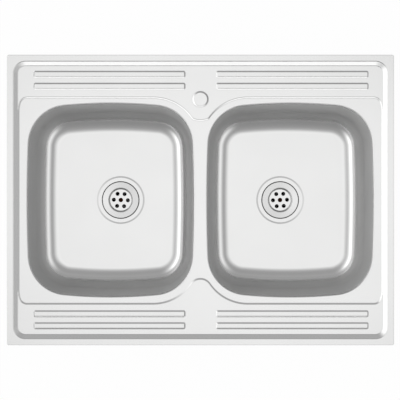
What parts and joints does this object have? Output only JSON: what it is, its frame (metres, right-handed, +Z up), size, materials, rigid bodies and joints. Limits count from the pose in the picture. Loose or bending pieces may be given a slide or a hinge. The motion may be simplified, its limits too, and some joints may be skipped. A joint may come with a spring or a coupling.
{
  "type": "double bowl kitchen sink",
  "caption": "Lay-on stainless steel kitchen sink with two bowls, draining ribs, a knock-out tap hole, perforated strainers and plastic waste bodies.",
  "frame": {"origin": "middle of the sink in plan, on the underside of the return flange, which is the cabinet's top edge", "axes": "+X to the user's right along the two bowls, +Y to the back where the tap hole is, +Z up"},
  "size_m": [0.8, 0.6, 0.2204],
  "materials": {
    "sheet_steel": "satin, fine brushing",
    "strainer_steel": "bright satin",
    "seal_rubber": "matt black",
    "pad_rubber": "matt dark grey",
    "waste_plastic": "moulded, fine grain",
    "insert_brass": "turned",
    "screw_bronze": "dark bronzed",
    "clip_steel": "zinc plated"
  },
  "bodies": {
    "root": {"sink_deck": "sheet_steel", "tap_hole_blank": "sheet_steel", "left_bowl": "sheet_steel", "left_strainer": "strainer_steel", "left_strainer_seal": "seal_rubber", "left_waste_seal": "seal_rubber", "left_waste_body": "waste_plastic", "left_screw_insert": "insert_brass", "left_strainer_screw": "screw_bronze", "left_sound_pad": "pad_rubber", "front_left_clip": "clip_steel", "back_left_clip": "clip_steel", "right_bowl": "sheet_steel", "right_strainer": "strainer_steel", "right_strainer_seal": "seal_rubber", "right_waste_seal": "seal_rubber", "right_waste_body": "waste_plastic", "right_screw_insert": "insert_brass", "right_strainer_screw": "screw_bronze", "right_sound_pad": "pad_rubber", "front_right_clip": "clip_steel", "back_right_clip": "clip_steel"}
  },
  "joints": []
}
